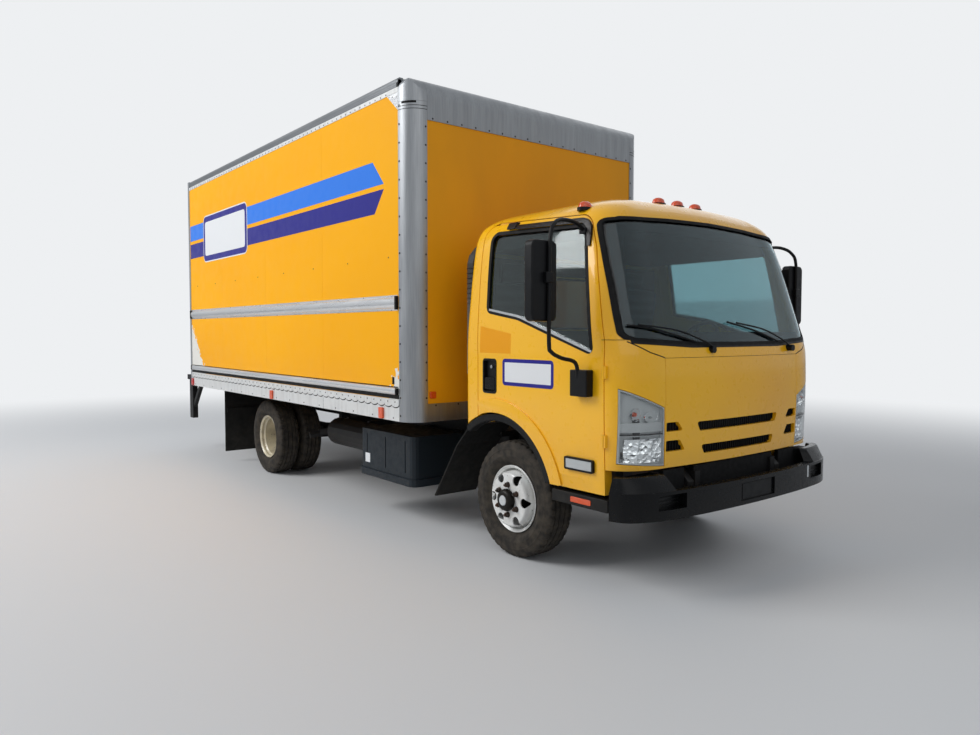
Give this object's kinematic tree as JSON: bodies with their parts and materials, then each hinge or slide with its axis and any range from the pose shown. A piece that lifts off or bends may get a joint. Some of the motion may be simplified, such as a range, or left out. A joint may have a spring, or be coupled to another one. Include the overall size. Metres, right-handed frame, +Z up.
{
  "type": "box truck",
  "caption": "Low-cab-forward box truck with tilting cab, opening doors, steered front wheels, twin rear wheels and a hollow van body with a roll-up rear door.",
  "frame": {"origin": "on the ground, under the middle of the truck's length and width", "axes": "+X points forward, +Y to the vehicle's left, +Z up"},
  "size_m": [7.237, 2.792, 3.253],
  "materials": {
    "yellow_paint": "gloss yellow paint",
    "aluminium": "mill finish, satin",
    "black_plastic": "moulded black plastic",
    "chassis_black": "black chassis paint",
    "cast_iron": "rough casting",
    "steel_white": "white wheel enamel",
    "tyre_rubber": "worn tyre rubber",
    "glass": "tinted laminated glass",
    "lamp": "clear lamp lens",
    "seat_fabric": "woven seat cloth",
    "plywood": "varnished hardwood floor",
    "white_panel": "white sheet"
  },
  "bodies": {
    "chassis": {"air_intake": "black_plastic", "battery_box": "black_plastic", "box_floor": "plywood", "box_front_wall": "yellow_paint", "box_nose_frame": "aluminium", "box_rear_door": "white_panel", "box_rear_frame": "aluminium", "box_roof": "white_panel", "box_wall_left": "yellow_paint", "box_wall_right": "yellow_paint", "engine_block": "cast_iron", "exhaust": "cast_iron", "frame_rails": "chassis_black", "front_axle": "chassis_black", "front_bumper": "black_plastic", "front_spring_left": "chassis_black", "front_spring_right": "chassis_black", "fuel_tank": "chassis_black", "gearbox_shaft": "cast_iron", "mud_flaps": "black_plastic", "rear_axle": "chassis_black", "rear_spring_left": "chassis_black", "rear_spring_right": "chassis_black", "rear_step": "chassis_black", "splash_guard_left": "black_plastic", "splash_guard_right": "black_plastic"},
    "cab": {"cab_floor": "black_plastic", "cab_shell": "yellow_paint", "dashboard": "black_plastic", "front_panel": "yellow_paint", "headlamp_left": "lamp", "headlamp_right": "lamp", "rear_window": "glass", "seat_driver": "seat_fabric", "seat_passengers": "seat_fabric", "steering_wheel": "black_plastic", "windscreen": "glass"},
    "door_left": {"door_glass_left": "glass", "door_left": "yellow_paint", "mirror_left": "black_plastic"},
    "door_right": {"door_glass_right": "glass", "door_right": "yellow_paint", "mirror_right": "black_plastic"},
    "knuckle_left": {"knuckle_left": "cast_iron"},
    "knuckle_right": {"knuckle_right": "cast_iron"},
    "front_wheel_left": {"tyre_front_left": "tyre_rubber", "wheel_front_left": "steel_white"},
    "front_wheel_right": {"tyre_front_right": "tyre_rubber", "wheel_front_right": "steel_white"},
    "rear_wheels_left": {"tyre_rear_left_inner": "tyre_rubber", "tyre_rear_left_outer": "tyre_rubber", "wheels_rear_left": "steel_white"},
    "rear_wheels_right": {"tyre_rear_right_inner": "tyre_rubber", "tyre_rear_right_outer": "tyre_rubber", "wheels_rear_right": "steel_white"}
  },
  "joints": [
    {"name": "cab_tilt", "type": "hinge", "parent": "chassis", "child": "cab", "pos_m": [3.4385, 0, 0.56], "axis": [0, 1, 0], "range_deg": [0, 45]},
    {"name": "door_left_hinge", "type": "hinge", "parent": "cab", "child": "door_left", "pos_m": [3.2845, 1.006, 1], "axis": [0, 0, -1], "range_deg": [0, 70]},
    {"name": "door_right_hinge", "type": "hinge", "parent": "cab", "child": "door_right", "pos_m": [3.2845, -1.006, 1], "axis": [0, 0, 1], "range_deg": [0, 70]},
    {"name": "steer_left", "type": "hinge", "parent": "chassis", "child": "knuckle_left", "pos_m": [2.4185, 0.7, 0.378], "axis": [0, 0, 1], "range_deg": [-35, 35]},
    {"name": "steer_right", "type": "hinge", "parent": "chassis", "child": "knuckle_right", "pos_m": [2.4185, -0.7, 0.378], "axis": [0, 0, 1], "range_deg": [-35, 35]},
    {"name": "front_wheel_left_spin", "type": "hinge", "parent": "knuckle_left", "child": "front_wheel_left", "pos_m": [2.4185, 0.834, 0.378], "axis": [0, 1, 0], "continuous": true},
    {"name": "rear_wheels_left_spin", "type": "hinge", "parent": "chassis", "child": "rear_wheels_left", "pos_m": [-1.3815, 0.818, 0.378], "axis": [0, 1, 0], "continuous": true},
    {"name": "front_wheel_right_spin", "type": "hinge", "parent": "knuckle_right", "child": "front_wheel_right", "pos_m": [2.4185, -0.834, 0.378], "axis": [0, 1, 0], "continuous": true},
    {"name": "rear_wheels_right_spin", "type": "hinge", "parent": "chassis", "child": "rear_wheels_right", "pos_m": [-1.3815, -0.818, 0.378], "axis": [0, 1, 0], "continuous": true}
  ],
  "couplings": [
    {"joint": "steer_right", "follows": "steer_left", "ratio": 1}
  ]
}
